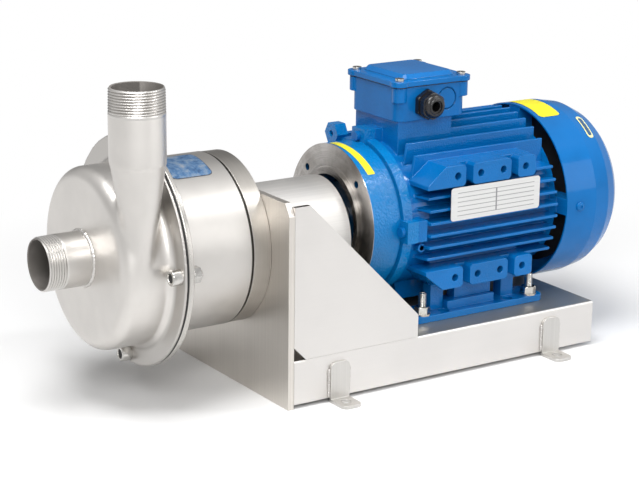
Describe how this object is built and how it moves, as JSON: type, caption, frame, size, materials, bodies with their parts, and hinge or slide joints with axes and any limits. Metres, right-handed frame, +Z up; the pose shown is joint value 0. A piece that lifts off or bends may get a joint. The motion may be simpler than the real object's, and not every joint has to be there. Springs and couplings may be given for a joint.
{
  "type": "centrifugal pump",
  "caption": "End-suction centrifugal pump with a pressed volute casing, lantern, guarded jaw coupling and a finned foot-mounted electric motor on a bent sheet base frame.",
  "frame": {"origin": "on the ground at the centre of the base frame, which is also the centre of its four holding-down holes", "axes": "+X along the shaft from the pump to the motor's fan, +Z up, -Y the side with the outlet and the cable gland"},
  "size_m": [0.5844, 0.26, 0.2925],
  "materials": {
    "stainless": "satin",
    "cast_metal": "matte",
    "zinc": "satin",
    "machined_steel": "satin",
    "blue_paint": "gloss",
    "rubber": "matte",
    "ceramic": "gloss",
    "copper": "satin",
    "black_plastic": "matte",
    "label_plate": "satin"
  },
  "bodies": {
    "pump_set": {"base_channel": "stainless", "front_plate": "stainless", "gusset_far": "stainless", "gusset_near": "stainless", "base_lugs": "stainless", "coupling_guard": "stainless", "guard_screws": "zinc", "bearing_bracket": "cast_metal", "bracket_screws": "zinc", "lantern_drum": "stainless", "rear_cover": "stainless", "volute_casing": "stainless", "inlet_pipe": "stainless", "outlet_pipe": "stainless", "casing_gasket": "rubber", "casing_screws": "zinc", "casing_nuts": "zinc", "seal_seat": "ceramic", "pump_bearing_outers": "machined_steel", "lip_seals": "rubber", "front_shield": "blue_paint", "tie_screws": "zinc", "motor_frame": "blue_paint", "stator_core": "cast_metal", "stator_winding": "copper", "motor_bearing_outers": "machined_steel", "rear_shield": "blue_paint", "fan_cowl": "blue_paint", "cowl_screws": "zinc", "foot_near": "blue_paint", "foot_far": "blue_paint", "foot_bolts": "zinc", "foot_studs": "zinc", "foot_nuts": "zinc", "weld_nuts": "zinc", "terminal_box": "blue_paint", "box_gasket": "rubber", "terminal_lid": "blue_paint", "lid_screws": "zinc", "terminal_block": "black_plastic", "cable_gland": "black_plastic", "gland_nut": "black_plastic", "rating_plate": "label_plate"},
    "pump_rotor": {"pump_shaft": "machined_steel", "pump_key": "machined_steel", "impeller": "stainless", "impeller_nut": "stainless", "seal_face": "ceramic", "seal_bellows": "rubber", "pump_bearing_inners": "machined_steel", "pump_bearing_cages": "machined_steel", "pump_hub": "machined_steel"},
    "motor_rotor": {"motor_shaft": "machined_steel", "motor_key": "machined_steel", "rotor_core": "cast_metal", "motor_bearing_inners": "machined_steel", "motor_bearing_cages": "machined_steel", "motor_hub": "machined_steel", "coupling_spider": "rubber", "motor_fan": "black_plastic"}
  },
  "joints": [
    {"name": "motor_spin", "type": "hinge", "parent": "pump_set", "child": "motor_rotor", "pos_m": [0, 0, 0.134], "axis": [1, 0, 0], "continuous": true},
    {"name": "pump_spin", "type": "hinge", "parent": "pump_set", "child": "pump_rotor", "pos_m": [0, 0, 0.134], "axis": [1, 0, 0], "continuous": true}
  ],
  "couplings": [
    {"joint": "pump_spin", "follows": "motor_spin", "ratio": 1}
  ]
}
